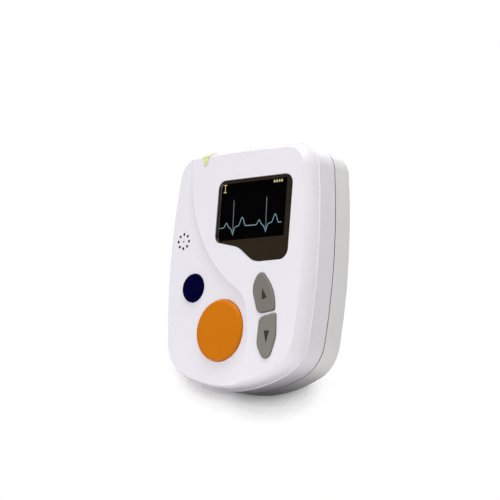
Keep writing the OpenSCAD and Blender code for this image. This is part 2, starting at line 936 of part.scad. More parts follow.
// Round cap with a flange, a hollow underside and a post to the switch
module round_cap(c, d, top, edge) {
    half = d / 2;
    edge_steps = 6;
    inner = half - shell_t;
    roof = top - shell_t - edge * 0.5;
    rim = half + button_gap + flange_w;
    translate([c.x, c.y, 0])
        rotate_extrude($fn = 144)
            polygon(concat(
                [
                    [0, plunger_top], [plunger_d / 2, plunger_top], [plunger_d / 2, roof],
                    [inner - shell_t * 0.5, roof], [inner, roof - shell_t * 0.5], [inner, flange_z],
                    [rim, flange_z], [rim, flange_z + flange_t], [half, flange_z + flange_t]
                ],
                [
                    for (k = [0:edge_steps])
                        let (a = 90 * k / edge_steps)
                        [half - edge * (1 - cos(a)), top - edge * (1 - sin(a))]
                ],
                [[0, top]]
            ));
}

// Large event button
module mark_button() {
    color("#c8730f")
        round_cap(mark_c, mark_d, mark_top, mark_edge);
}

// Small dark blue button
module menu_button() {
    color("#0d0a4a")
        round_cap(menu_c, menu_d, menu_top, menu_proud * 0.8);
}

// Key cap with a bevelled top, a flange and a post to the switch; side = 1 above the bridge
module key_cap(points, c, side) {
    difference() {
        union() {
            hull()
                for (k = [0:key_edge_steps])
                    let (a = 90 * k / key_edge_steps)
                    prism(points, -key_edge * (1 - cos(a)), flange_z, key_top - key_edge * (1 - sin(a)));
            difference() {
                prism(points, flange_w + button_gap, flange_z, flange_z + flange_t);
                translate([bridge_c.x, bridge_c.y, flange_z - past])
                    rotate([0, 0, bridge_deg])
                        translate([-case_w, side * (case_w - bridge_gap / 2) * -1 - case_w, 0])
                            cube([2 * case_w, 2 * case_w, flange_t + 2 * past]);
            }
        }
        prism(points, -shell_t, flange_z - past, key_top - shell_t);
    }
    post(c, plunger_d / 2, plunger_top, key_top - shell_t + seat);
}

// Upper key
module up_key() {
    color("#7d7a73")
        key_cap(up_points, up_c, 1);
}

// Lower key
module down_key() {
    color("#7d7a73")
        key_cap(down_points, down_c, -1);
}

// Push switch body with a well that leaves its plunger room to travel
module switch_body(c, travel) {
    color("#2b2b2b")
        difference() {
            block(c, switch_w, switch_w, board_top, board_top + switch_h);
            post(
                c, plunger_d / 2 + seat,
                plunger_top - plunger_len - travel - fit, board_top + switch_h + past
            );
        }
}

// Switch under the event button
module mark_switch() {
    switch_body(mark_c, mark_travel);
}

// Switch under the blue button
module menu_switch() {
    switch_body(menu_c, key_travel);
}

// Switch under the upper key
module up_switch() {
    switch_body(up_c, key_travel);
}

// Switch under the lower key
module down_switch() {
    switch_body(down_c, key_travel);
}

// Plunger between a switch and its button
module plunger(c) {
    color("#d8d4c8")
        post(c, plunger_d / 2, plunger_top - plunger_len, plunger_top);
}

// Plunger under the event button
module mark_plunger() {
    plunger(mark_c);
}

// Plunger under the blue button
module menu_plunger() {
    plunger(menu_c);
}

// Plunger under the upper key
module up_plunger() {
    plunger(up_c);
}

// Plunger under the lower key
module down_plunger() {
    plunger(down_c);
}

// Light pipe that wraps over the top edge, with a foot above its light
module status_lens() {
    color("#b9c832")
        union() {
            intersection() {
                case_solid(front_profile(light_proud));
                light_wedge(0, face_z - light_depth, face_z + past);
            }
            block(
                [light_x, light_foot_y], light_wide - 2 * light_foot_in, light_foot_h,
                board_top + led_h + light_gap, ceiling_z - seat
            );
        }
}

// Light source under the light pipe
module status_led() {
    color("#f2f0e0")
        block([light_x, light_foot_y], led_w, led_d, board_top, board_top + led_h);
}

// Round sounder behind the sound holes
module sounder() {
    color("#202020")
        difference() {
            post(sound_c, sounder_d / 2, ceiling_z - sounder_t + sounder_gap, ceiling_z);
            post(sound_c, sounder_port_r, ceiling_z - sounder_port_r, ceiling_z + past);
        }
}

// Open metal shell of a socket; its mouth looks along +Y from the origin
module socket_shell(w, h, depth, r) {
    rotate([90, 0, 0])
        difference() {
            soft_block([0, 0], w, h, r, 0, depth);
            soft_block([0, 0], w - 2 * shell_metal, h - 2 * shell_metal, r - shell_metal, -past, depth + past);
        }
}

// Insulating block and tongue inside a socket shell of corner radius r
module socket_core(w, h, depth, r, tongue_w, tongue_t) {
    inner = 2 * (shell_metal + seat);
    translate([0, -depth, 0])
        rotate([-90, 0, 0])
            soft_block([0, 0], w - inner, h - inner, r - inner / 2, 0, core_t);
    translate([-tongue_w / 2, core_t - depth - seat, -tongue_t / 2])
        cube([tongue_w, depth - core_t - tongue_in, tongue_t]);
}

// Metal shell of the lead socket in the top end
module lead_socket() {
    color("#c4c6c8")
        translate([0, lead_mouth_y, board_z - lead_h / 2])
            socket_shell(lead_w, lead_h, lead_depth, lead_r);
}

// Black insulator of the lead socket
module lead_tongue() {
    color("#1c1c1e")
        translate([0, lead_mouth_y, board_z - lead_h / 2])
            socket_core(lead_w, lead_h, lead_depth, lead_r, lead_tongue_w, lead_tongue_t);
}

// Two rows of contacts on the tongue of the lead socket
module lead_pins() {
    pitch = lead_tongue_w / lead_count;
    pin_w = pitch * pin_share;
    color("#d8b45a")
        translate([0, lead_mouth_y - lead_depth + core_t, board_z - lead_h / 2])
            for (k = [0:lead_count - 1], up = [0, 1])
                mirror([0, 0, 1 - up])
                    translate([(k - (lead_count - 1) / 2) * pitch - pin_w / 2, 0, lead_tongue_t / 2])
                        cube([pin_w, lead_depth - core_t - tongue_in - pin_in, pin_t]);
}

// Metal shell of the data socket in the left side
module data_socket() {
    color("#c4c6c8")
        translate([data_mouth_x, data_y, board_z - data_h / 2])
            rotate([0, 0, 90])
                socket_shell(data_w, data_h, data_len, data_r);
}

// Black insulator of the data socket
module data_tongue() {
    color("#1c1c1e")
        translate([data_mouth_x, data_y, board_z - data_h / 2])
            rotate([0, 0, 90])
                socket_core(data_w, data_h, data_len, data_r, data_w - data_tongue_in, data_tongue_t);
}

// Battery cover: a flat door with two tabs and grip grooves for a thumb
module battery_cover() {
    color("#dddbe0")
        difference() {
            union() {
                soft_block(cover_c, cover_w, cover_h, cover_r - cover_gap, 0, cover_t - seat);
                for (side = [-1, 1])
                    block(
                        [side * tab_x, cover_top + (tab_reach - tab_root) / 2], tab_w, tab_reach + tab_root,
                        cover_t - tab_t, cover_t - seat
                    );
            }
            for (k = [0:grip_count - 1])
                block([0, cover_low + grip_up + grip_pitch * k], grip_w, grip_h, -past, grip_deep);
        }
}

// One cell: can with a shoulder and a nub, nub towards +X
module cell() {
    edge = cell_edge;
    rotate([0, 90, 0])
        rotate_extrude($fn = 96)
            polygon([
                [0, 0], [cell_d / 2 - edge, 0], [cell_d / 2, edge],
                [cell_d / 2, cell_len - nub_h - edge], [cell_d / 2 - edge, cell_len - nub_h],
                [nub_r, cell_len - nub_h], [nub_r, cell_len], [0, cell_len]
            ]);
}

// Cell nearer the top end, nub to the right
module upper_battery() {
    color("#3a6ea5")
        translate([bay_w / 2 - plate_t - cell_len, upper_cell_y, cell_z])
            cell();
}

// Cell nearer the foot, nub to the left
module lower_battery() {
    color("#3a6ea5")
        translate([cell_len + plate_t - bay_w / 2, lower_cell_y, cell_z])
            mirror([1, 0, 0])
                cell();
}

// Conical contact spring along +X: one unbroken tube of rings
module contact_spring() {
    n = len(spring_path);
    m = spring_sides;
    polyhedron(
        points = [
            for (i = [0:n - 1], j = [0:m - 1])
                let (
                    t = 360 * spring_turns * i / (n - 1),
                    out = [0, cos(t), sin(t)],
                    a = 360 * j / m
                )
                spring_path[i] + spring_wire / 2 * (cos(a) * out + sin(a) * [1, 0, 0])
        ],
        faces = concat(
            [
                for (i = [0:n - 2], j = [0:m - 1], half = [0, 1])
                    let (a = i * m + j, b = i * m + (j + 1) % m)
                    half == 0 ? [a, a + m, b] : [b, a + m, b + m]
            ],
            [for (j = [1:m - 2]) [0, j, j + 1]],
            [for (j = [1:m - 2]) [(n - 1) * m, (n - 1) * m + j + 1, (n - 1) * m + j]]
        ),
        convexity = 6
    );
}

// Both contact springs, each behind the flat end of its cell
module battery_springs() {
    color("#c9c5b8") {
        translate([plate_t - bay_w / 2 + seat / 2, upper_cell_y, cell_z])
            contact_spring();
        translate([bay_w / 2 - plate_t - seat / 2, lower_cell_y, cell_z])
            mirror([1, 0, 0])
                contact_spring();
    }
}

// Contact plates at the ends of the bay: two with tabs to the board, one bridge
module battery_plates() {
    low = cell_z - plate_w / 2;
    color("#c9cbcc") {
        for (y = [lower_cell_y, upper_cell_y]) {
            block([(plate_t - bay_w) / 2, y], plate_t, plate_w, low, low + plate_w);
            block([(plate_t - bay_w) / 2, y], plate_t, plate_tab_w, low, board_z);
        }
        block(
            [(bay_w - plate_t) / 2, cover_c.y], plate_t, upper_cell_y - lower_cell_y + plate_w,
            low, low + plate_w
        );
    }
}

// Shield can on the back of the board
module shield_can() {
    color("#aeb1b3")
        difference() {
            soft_block(can_c, can_w, can_h, can_r, board_z - can_t, board_z);
            block(
                can_c, can_w - 2 * can_metal, can_h - 2 * can_metal,
                board_z - can_t + can_metal, board_z + past
            );
        }
}

// Processor chip on the front of the board
module processor_chip() {
    color("#1b1b1d")
        block(chip_c, chip_w, chip_w, board_top, board_top + chip_t);
}

// Memory chips on the front of the board
module memory_chips() {
    color("#1b1b1d")
        for (p = memory_places)
            block(p, memory_w, memory_h, board_top, board_top + memory_t);
}

// Small coin cell that keeps the clock going, on the back of the board
module clock_cell() {
    color("#b4b6b8")
        post(clock_c, clock_r, board_z - clock_t, board_z);
}

// Pan-headed screw with its head against z = 0 and its shank along +Z
module screw(shank_d, len, head, head_len) {
    translate([0, 0, -head_len])
        difference() {
            cylinder(r = head, h = head_len, $fn = 48);
            translate([0, 0, -past])
                cylinder(r = head * drive_share, h = past + head_len / 2, $fn = 6);
        }
    cylinder(r = shank_d / 2, h = len, $fn = 32);
}

// Screws that hold the two shells together
module case_screws() {
    color("#8a8c90")
        at_case_screws()
            translate([0, 0, well_floor])
                screw(case_screw_d, case_screw_len, head_r, head_t);
}

// Screws that hold the board to the front shell
module board_screws() {
    color("#8a8c90")
        at_board_screws()
            translate([0, 0, board_z])
                screw(board_screw_d, board_t + board_screw_bite - board_screw_spare, board_head_r, board_head_t);
}

// Turns a part upright: foot on the ground, face towards -Y
module stand() {
    translate([0, total_t / 2, 0])
        rotate([90, 0, 0])
            children();
}

echo(spring_gap = spring_gap);

stand() front_case();
stand() rear_case();
stand() display_window();
stand() window_tape();
stand() display_panel();
stand() display_frame();
stand() display_flex();
stand() display_connector();
stand() main_board();
stand() mark_button();
stand() menu_button();
stand() up_key();
stand() down_key();
stand() mark_switch();
stand() menu_switch();
stand() up_switch();
stand() down_switch();
stand() mark_plunger();
stand() menu_plunger();
stand() up_plunger();
stand() down_plunger();
stand() status_lens();
stand() status_led();
stand() sounder();
stand() lead_socket();
stand() lead_tongue();
stand() lead_pins();
stand() data_socket();
stand() data_tongue();
stand() battery_cover();
stand() upper_battery();
stand() lower_battery();
stand() battery_springs();
stand() battery_plates();
stand() shield_can();
stand() processor_chip();
stand() memory_chips();
stand() clock_cell();
stand() case_screws();
stand() board_screws();
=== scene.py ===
import bpy
import bmesh
import math
from mathutils import Matrix, Vector


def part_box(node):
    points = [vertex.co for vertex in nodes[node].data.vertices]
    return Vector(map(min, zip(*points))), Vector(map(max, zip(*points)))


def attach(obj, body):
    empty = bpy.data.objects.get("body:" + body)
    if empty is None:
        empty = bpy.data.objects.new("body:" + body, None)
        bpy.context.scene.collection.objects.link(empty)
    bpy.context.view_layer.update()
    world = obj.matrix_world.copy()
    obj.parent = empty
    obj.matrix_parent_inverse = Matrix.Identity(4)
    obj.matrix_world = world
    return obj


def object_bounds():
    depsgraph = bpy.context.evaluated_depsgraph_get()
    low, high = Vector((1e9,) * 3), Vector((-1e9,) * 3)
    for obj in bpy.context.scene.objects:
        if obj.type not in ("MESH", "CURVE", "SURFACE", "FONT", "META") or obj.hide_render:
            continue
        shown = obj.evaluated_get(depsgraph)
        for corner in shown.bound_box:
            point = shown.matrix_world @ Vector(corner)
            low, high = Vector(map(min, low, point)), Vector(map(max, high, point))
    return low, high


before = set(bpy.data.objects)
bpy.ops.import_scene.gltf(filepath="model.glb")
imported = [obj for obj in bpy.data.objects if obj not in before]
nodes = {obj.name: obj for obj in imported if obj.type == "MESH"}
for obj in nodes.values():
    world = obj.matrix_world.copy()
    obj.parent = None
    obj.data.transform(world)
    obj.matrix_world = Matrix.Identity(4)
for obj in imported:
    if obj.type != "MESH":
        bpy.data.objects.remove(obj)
low_before, high_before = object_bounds()

# The CAD is drawn lying on its back: x across, y up the device, z out of the face, in mm.
# Upright, the back lies on the plane BACK and z grows towards the viewer of the face.
MM = 0.001
BACK = high_before[1]


def place(x, y, z):
    """From millimetres on the flat device to the upright frame in metres."""
    return Vector((x * MM, BACK - z * MM, y * MM))


def height(y):
    """Height above the back, in mm, of a depth in the frame."""
    return (BACK - y) / MM


KEY_TOP = height(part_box("up_key")[0][1])
WINDOW_TOP = height(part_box("display_window")[0][1])
WINDOW_UNDER = height(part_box("display_window")[1][1])
PARTING = height(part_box("front_case")[1][1])

# Camera of the photograph. The target, a point at the height of the raised face, shows at its pixel.
CAMERA_AZ = math.radians(44.05)
CAMERA_EL = math.radians(-9.38)
CAMERA_ROLL = math.radians(4.0)
CAMERA_DISTANCE = 0.9455
PIXELS_PER_MM = 2.475
IMAGE_SIDE = 500
TARGET_PIXEL = (238.65, 264.4)
FACE_TOP = 27.0
TARGET = place(2.6, 50.8, FACE_TOP)


def direction(az, el):
    """Unit vector from the object towards a viewer at the given angles."""
    return Vector((math.sin(az) * math.cos(el), -math.cos(az) * math.cos(el), math.sin(el)))


# Axes of the view, before the camera is rolled, and the level direction towards the camera
view_back = direction(CAMERA_AZ, CAMERA_EL)
view_right = Vector((math.cos(CAMERA_AZ), math.sin(CAMERA_AZ), 0))
view_up = view_back.cross(view_right)
ahead = direction(CAMERA_AZ, 0)


def make_camera():
    """Camera that looks at the target, rolled, and shifted so that the target falls on its pixel."""
    c = math.cos(CAMERA_ROLL)
    s = math.sin(CAMERA_ROLL)
    axes = Matrix((c * view_right + s * view_up, c * view_up - s * view_right, view_back)).transposed()
    data = bpy.data.cameras.new("camera")
    data.sensor_width = 36.0
    data.lens = data.sensor_width * PIXELS_PER_MM * CAMERA_DISTANCE / MM / IMAGE_SIDE
    data.shift_x = (IMAGE_SIDE / 2 - TARGET_PIXEL[0]) / IMAGE_SIDE
    data.shift_y = (TARGET_PIXEL[1] - IMAGE_SIDE / 2) / IMAGE_SIDE
    data.dof.use_dof = False
    data.clip_start = 0.01
    data.clip_end = 20
    camera = bpy.data.objects.new("camera", data)
    camera.matrix_world = Matrix.Translation(TARGET + view_back * CAMERA_DISTANCE) @ axes.to_4x4()
    bpy.context.scene.collection.objects.link(camera)
    bpy.context.scene.camera = camera
    return camera


camera_place = make_camera().matrix_world.translation.copy()


def seen_at(x, y, z):
    """The point at height z that the camera sees in line with the point x, y of the raised face."""
    eye = Vector((camera_place.x / MM, camera_place.z / MM, height(camera_place.y)))
    ray = Vector((x, y, FACE_TOP)) - eye
    point = eye + ray * ((z - eye.z) / ray.z)
    return point.x, point.y


# Material helpers
def linear(value):
    """Linear light of one sRGB channel, both from 0 to 1."""
    return value / 12.92 if value <= 0.04045 else ((value + 0.055) / 1.055) ** 2.4


def srgb(r, g, b):
    """Linear colour of an sRGB colour that is given from 0 to 255."""
    return tuple(linear(v / 255) for v in (r, g, b))


def new_material(name):
    m = bpy.data.materials.new(name)
    m.use_nodes = True
    nt = m.node_tree
    return m, nt, nt.nodes["Principled BSDF"]


def math_node(nt, operation, *values, clamp=False):
    n = nt.nodes.new("ShaderNodeMath")
    n.operation = operation
    n.use_clamp = clamp
    for socket, value in zip(n.inputs, values):
        if isinstance(value, (int, float)):
            socket.default_value = value
        else:
            nt.links.new(value, socket)
    return n.outputs["Value"]


def squared_distance(nt, across, along):
    return math_node(nt, "MULTIPLY_ADD", along, along, math_node(nt, "MULTIPLY", across, across))


def object_axes(nt):
    """Object coordinates as three numbers, in metres of the frame."""
    coords = nt.nodes.new("ShaderNodeTexCoord")
    split = nt.nodes.new("ShaderNodeSeparateXYZ")
    nt.links.new(coords.outputs["Object"], split.inputs["Vector"])
    return split.outputs["X"], split.outputs["Y"], split.outputs["Z"]


def noise(nt, scale, detail=3.0, stretch=(1.0, 1.0, 1.0)):
    coords = nt.nodes.new("ShaderNodeTexCoord")
    mapping = nt.nodes.new("ShaderNodeMapping")
    mapping.inputs["Scale"].default_value = stretch
    tex = nt.nodes.new("ShaderNodeTexNoise")
    tex.inputs["Scale"].default_value = scale
    tex.inputs["Detail"].default_value = detail
    nt.links.new(coords.outputs["Object"], mapping.inputs["Vector"])
    nt.links.new(mapping.outputs["Vector"], tex.inputs["Vector"])
    return tex.outputs["Fac"]


TONE_SPAN = (0.3, 0.7)


def tone(nt, fac, lo, hi):
    """From the first colour to the second over the middle part of the range of fac."""
    ramp = nt.nodes.new("ShaderNodeValToRGB")
    for element, position, color in zip(ramp.color_ramp.elements, TONE_SPAN, (lo, hi)):
        element.position = position
        element.color = (*color, 1)
    nt.links.new(fac, ramp.inputs["Fac"])
    return ramp.outputs["Color"]


def varied(nt, fac, color, vary):
    lo = tuple(max(0.0, v * (1 - vary)) for v in color)
    hi = tuple(min(1.0, v * (1 + vary)) for v in color)
    return tone(nt, fac, lo, hi)


def blend_color(nt, fac, under, over):
    """Colour over where fac is 1, colour under where it is 0."""
    mix = nt.nodes.new("ShaderNodeMix")
    mix.data_type = "RGBA"
    nt.links.new(fac, mix.inputs["Factor"])
    nt.links.new(under, mix.inputs["A"])
    mix.inputs["B"].default_value = (*over, 1)
    return mix.outputs["Result"]


def bump(nt, bsdf, fac, strength, distance):
    b = nt.nodes.new("ShaderNodeBump")
    b.inputs["Strength"].default_value = strength
    b.inputs["Distance"].default_value = distance
    nt.links.new(fac, b.inputs["Height"])
    nt.links.new(b.outputs["Normal"], bsdf.inputs["Normal"])


CLOUD_SCALE = 60.0
GRAIN_DETAIL = 2.0
GRAIN_DEPTH = 0.00003


def plastic(name, color, rough, grain, depth, vary, marks=(), specular=0.5):
    """Moulded plastic with a fine grain. Each mark is a function that gives where its colour lies."""
    m, nt, bsdf = new_material(name)
    shade = varied(nt, noise(nt, CLOUD_SCALE), color, vary)
    for mark, mark_color in marks:
        shade = blend_color(nt, mark(nt), shade, mark_color)
    nt.links.new(shade, bsdf.inputs["Base Color"])
    bsdf.inputs["Roughness"].default_value = rough
    bsdf.inputs["Specular IOR Level"].default_value = specular
    bump(nt, bsdf, noise(nt, grain, GRAIN_DETAIL), depth, GRAIN_DEPTH)
    return m


BRUSHED = {"stretch": (1.0, 1.0, 20.0), "scale": 60.0}
METAL_DETAIL = 4.0
METAL_SHADE = 0.88
METAL_BUMP = 0.25
METAL_DEPTH = 0.00002


def metal(name, color, rough, stretch=(1.0, 1.0, 1.0), scale=600.0):
    """Bare metal with a fine grain. A stretch squeezes the grain along an axis, so that it looks brushed."""
    m, nt, bsdf = new_material(name)
    grain = noise(nt, scale, METAL_DETAIL, stretch)
    darker = tuple(v * METAL_SHADE for v in color)
    nt.links.new(tone(nt, grain, darker, color), bsdf.inputs["Base Color"])
    bsdf.inputs["Metallic"].default_value = 1.0
    bsdf.inputs["Roughness"].default_value = rough
    bump(nt, bsdf, grain, METAL_BUMP, METAL_DEPTH)
    return m


# Marks in the colour of the shells and the keys: painted shade in the groove and in the sound holes, and the
# printed arrows. Their lengths are in mm.
GROOVE_H = 0.35
GROOVE_OVER = 0.03
GROOVE_SHADE = srgb(70, 68, 68)


def groove_shade_mark(nt):
    """Painted shade in the narrow groove between the two shells."""
    middle = BACK - (PARTING - GROOVE_H / 2) * MM
    return math_node(nt, "COMPARE", object_axes(nt)[1], middle, (GROOVE_H / 2 + GROOVE_OVER) * MM)


LOW_FIELD = 25.6
SOUND_REACH = 4.5
SOUND_EDGE = 0.12
HOLE_SHADE = srgb(38, 36, 36)


def sound_hole_shade_mark(nt):
    """Painted shade below the surface of the low field, inside the sound holes."""
    low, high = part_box("sounder")
    x, y, z = object_axes(nt)
    across = math_node(nt, "SUBTRACT", x, (low[0] + high[0]) / 2)
    along = math_node(nt, "SUBTRACT", z, (low[2] + high[2]) / 2)
    near = math_node(nt, "LESS_THAN", squared_distance(nt, across, along), (SOUND_REACH * MM) ** 2)
    deep = math_node(nt, "GREATER_THAN", y, BACK - (LOW_FIELD - SOUND_EDGE) * MM)
    return math_node(nt, "MULTIPLY", near, deep)


# Corners of the arrows, in turn against the clock, as the camera sees them in line with the raised face
ARROWS = {
    "up_key": [(16.5, 40.5), (16.6, 35.6), (19.5, 36.4)],
    "down_key": [(18.9, 23.1), (20.4, 17.9), (22.0, 23.0)],
}
ARROW_SOFT = 0.2
ARROW_INK = srgb(46, 41, 37)


def arrow_mark(corners):
    """A filled triangle with slightly soft edges."""
    def mark(nt):
        x, _, z = object_axes(nt)
        inside = None
        for (ax, ay), (bx, by) in zip(corners, corners[1:] + corners[:1]):
            length = math.hypot(bx - ax, by - ay)
            nx = (ay - by) / length
            ny = (bx - ax) / length
            across = math_node(nt, "MULTIPLY_ADD", x, nx, -(nx * ax + ny * ay) * MM)
            edge = math_node(nt, "MULTIPLY_ADD", z, ny, across)
            inside = edge if inside is None else math_node(nt, "MINIMUM", inside, edge)
        return math_node(nt, "MULTIPLY_ADD", inside, 1 / (ARROW_SOFT * MM), 0.5, clamp=True)
    return mark


def key_material(node, color):
    """Rubber of a key with its arrow."""
    corners = [seen_at(x, y, KEY_TOP) for x, y in ARROWS[node]]
    arrow = [(arrow_mark(corners), ARROW_INK)]
    return plastic(
        node + "_rubber", color, rough=0.55, grain=2200.0, depth=0.4, vary=0.03, marks=arrow, specular=0.2,
    )


def board_material():
    """Green board: solder mask over a pattern of tracks."""
    m, nt, bsdf = new_material("board_mask")
    coords = nt.nodes.new("ShaderNodeTexCoord")
    turn = nt.nodes.new("ShaderNodeMapping")
    turn.inputs["Rotation"].default_value = (math.pi / 2, 0, 0)
    tracks = nt.nodes.new("ShaderNodeTexBrick")
    tracks.inputs["Scale"].default_value = 420.0
    tracks.inputs["Mortar Size"].default_value = 0.06
    tracks.inputs["Color1"].default_value = (*srgb(26, 96, 56), 1)
    tracks.inputs["Color2"].default_value = (*srgb(30, 104, 60), 1)
    tracks.inputs["Mortar"].default_value = (*srgb(52, 140, 82), 1)
    nt.links.new(coords.outputs["Object"], turn.inputs["Vector"])
    nt.links.new(turn.outputs["Vector"], tracks.inputs["Vector"])
    nt.links.new(tracks.outputs["Color"], bsdf.inputs["Base Color"])
    bsdf.inputs["Roughness"].default_value = 0.35
    bump(nt, bsdf, tracks.outputs["Fac"], strength=0.3, distance=GRAIN_DEPTH)
    return m


def smoked_material():
    """Tinted clear plastic of the window, which mirrors nothing, as in the photograph."""
    m, nt, bsdf = new_material("smoked_window")
    shade = tone(nt, noise(nt, scale=90.0), srgb(6, 4, 3), srgb(9, 7, 5))
    nt.links.new(shade, bsdf.inputs["Base Color"])
    bsdf.inputs["Specular IOR Level"].default_value = 0.0
    bsdf.inputs["Roughness"].default_value = 0.06
    bsdf.inputs["Alpha"].default_value = 0.25
    return m


def light_pipe_material():
    """Cloudy yellow-green plastic that carries a little light of its own."""
    m, nt, bsdf = new_material("light_pipe")
    shade = tone(nt, noise(nt, scale=300.0), srgb(200, 207, 138), srgb(216, 222, 168))
    nt.links.new(shade, bsdf.inputs["Base Color"])
    nt.links.new(shade, bsdf.inputs["Emission Color"])
    bsdf.inputs["Roughness"].default_value = 0.25
    bsdf.inputs["Subsurface Weight"].default_value = 0.2
    bsdf.inputs["Subsurface Radius"].default_value = (0.001, 0.001, 0.0005)
    bsdf.inputs["Emission Strength"].default_value = 0.05
    return m


SLEEVE_BAND_AT = 0.24
SLEEVE_BAND_HALF = 0.0022


def sleeve_material():
    """Printed film round a cell: blue, with one pale band nearer to one end."""
    m, nt, bsdf = new_material("cell_sleeve")
    grain = noise(nt, scale=70.0)
    blue = tone(nt, grain, srgb(34, 66, 128), srgb(44, 82, 150))
    low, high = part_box("upper_battery")
    middle = low[0] + SLEEVE_BAND_AT * (high[0] - low[0])
    band = math_node(nt, "COMPARE", object_axes(nt)[0], middle, SLEEVE_BAND_HALF)
    nt.links.new(blend_color(nt, band, blue, srgb(206, 208, 212)), bsdf.inputs["Base Color"])
    bsdf.inputs["Roughness"].default_value = 0.3
    bsdf.inputs["Metallic"].default_value = 0.3
    bump(nt, bsdf, grain, strength=0.05, distance=0.0001)
    return m


def glow(name, color, strength):
    """A lit part of the screen picture."""
    m, nt, bsdf = new_material(name)
    shade = varied(nt, noise(nt, scale=2600.0, detail=1.0), color, vary=0.06)
    nt.links.new(shade, bsdf.inputs["Base Color"])
    nt.links.new(shade, bsdf.inputs["Emission Color"])
    bsdf.inputs["Emission Strength"].default_value = strength
    bsdf.inputs["Roughness"].default_value = 0.4
    return m


# Materials of the object
SHELL = srgb(229, 226, 233)
SHELL_BACK = srgb(226, 224, 225)
FRONT_MARKS = [(groove_shade_mark, GROOVE_SHADE), (sound_hole_shade_mark, HOLE_SHADE)]
REAR_MARKS = [(groove_shade_mark, GROOVE_SHADE)]
BACK_GRAIN = {"rough": 0.42, "grain": 1700.0, "depth": 0.2, "vary": 0.01}
BUTTON_GRAIN = {"grain": 900.0, "depth": 0.15}
INNER_GRAIN = {"rough": 0.5, "grain": 1500.0, "depth": 0.3, "vary": 0.03}
shell = plastic("shell_plastic", SHELL, rough=0.38, grain=1700.0, depth=0.16, vary=0.008, marks=FRONT_MARKS)
shell_back = plastic("shell_back_plastic", SHELL_BACK, marks=REAR_MARKS, **BACK_GRAIN)
cover_plastic = plastic("cover_plastic", SHELL_BACK, **BACK_GRAIN)
orange = plastic("event_orange", srgb(201, 113, 5), rough=0.34, vary=0.03, specular=0.08, **BUTTON_GRAIN)
navy = plastic("menu_navy", srgb(5, 5, 44), rough=0.36, vary=0.05, specular=0.0, **BUTTON_GRAIN)
black = plastic("black_plastic", srgb(34, 34, 36), rough=0.5, grain=1500.0, depth=0.4, vary=0.1)
soot = plastic("black_tape", srgb(6, 6, 7), rough=0.8, grain=1500.0, depth=0.3, vary=0.1, specular=0.0)
print_brown = plastic(
    "window_mask", srgb(54, 45, 34), rough=0.6, grain=1500.0, depth=0.1, vary=0.04, specular=0.05,
)
glass = plastic("display_glass", srgb(3, 3, 4), rough=0.3, grain=900.0, depth=0.05, vary=0.2, specular=0.0)
cream = plastic("cream_plastic", srgb(226, 222, 205), **INNER_GRAIN)
tray = plastic("tray_plastic", srgb(185, 188, 194), **INNER_GRAIN)
ribbon = plastic("ribbon_film", srgb(178, 112, 42), rough=0.3, grain=400.0, depth=0.1, vary=0.06)
steel = metal("socket_steel", (0.62, 0.63, 0.64), rough=0.28, **BRUSHED)
plate_steel = metal("plate_steel", (0.66, 0.66, 0.65), rough=0.3, **BRUSHED)
spring_steel = metal("spring_wire", (0.6, 0.59, 0.56), rough=0.3)
screw_steel = metal("screw_steel", (0.32, 0.33, 0.35), rough=0.35)
gold = metal("contact_gold", (0.83, 0.6, 0.25), rough=0.25)
up_grey = key_material("up_key", srgb(118, 112, 106))
down_grey = key_material("down_key", srgb(124, 122, 115))
board = board_material()
smoked = smoked_material()
pipe = light_pipe_material()
sleeve = sleeve_material()

LOOK = {
    "front_case": shell, "rear_case": shell_back, "battery_cover": cover_plastic,
    "display_window": smoked, "window_tape": soot, "display_panel": glass, "display_frame": tray,
    "display_flex": ribbon, "display_connector": cream, "main_board": board,
    "mark_button": orange, "menu_button": navy, "up_key": up_grey, "down_key": down_grey,
    "mark_switch": black, "menu_switch": black, "up_switch": black, "down_switch": black,
    "mark_plunger": cream, "menu_plunger": cream, "up_plunger": cream, "down_plunger": cream,
    "status_lens": pipe, "status_led": cream, "sounder": black,
    "lead_socket": steel, "lead_tongue": black, "lead_pins": gold,
    "data_socket": steel, "data_tongue": black,
    "upper_battery": sleeve, "lower_battery": sleeve,
    "battery_springs": spring_steel, "battery_plates": plate_steel,
    "shield_can": steel, "processor_chip": black, "memory_chips": black, "clock_cell": plate_steel,
    "case_screws": screw_steel, "board_screws": screw_steel,
}
WELD = 0.000002
SMOOTH_BELOW = math.radians(24)
FACE_WEIGHT = 60


def dress(o, material):
    """Give a CAD node its material and shade its facets smooth; the mesh itself stays as packed."""
    me = o.data
    me.materials.clear()
    me.materials.append(material)
    if "custom_normal" in me.attributes:
        me.attributes.remove(me.attributes["custom_normal"])
    for p in me.polygons:
        p.use_smooth = True
    weld = o.modifiers.new("weld", "WELD")
    weld.merge_threshold = WELD
    split = o.modifiers.new("split", "EDGE_SPLIT")
    split.use_edge_angle = True
    split.use_edge_sharp = False
    split.split_angle = SMOOTH_BELOW
    even = o.modifiers.new("even", "WEIGHTED_NORMAL")
    even.weight = FACE_WEIGHT


for node, material in LOOK.items():
    dress(nodes[node], material)


# Small meshes
def mesh_piece(name, verts, faces, material, body):
    """A piece of the object, made of points and faces. It rides on a body."""
    me = bpy.data.meshes.new(name)
    me.from_pydata([tuple(v) for v in verts], [], faces)
    me.update()
    bm = bmesh.new()
    bm.from_mesh(me)
    bmesh.ops.recalc_face_normals(bm, faces=bm.faces)
    bm.to_mesh(me)
    bm.free()
    me.materials.append(material)
    o = bpy.data.objects.new(name, me)
    bpy.context.scene.collection.objects.link(o)
    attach(o, body)
    return o


FLAT_WITHIN = 0.00001


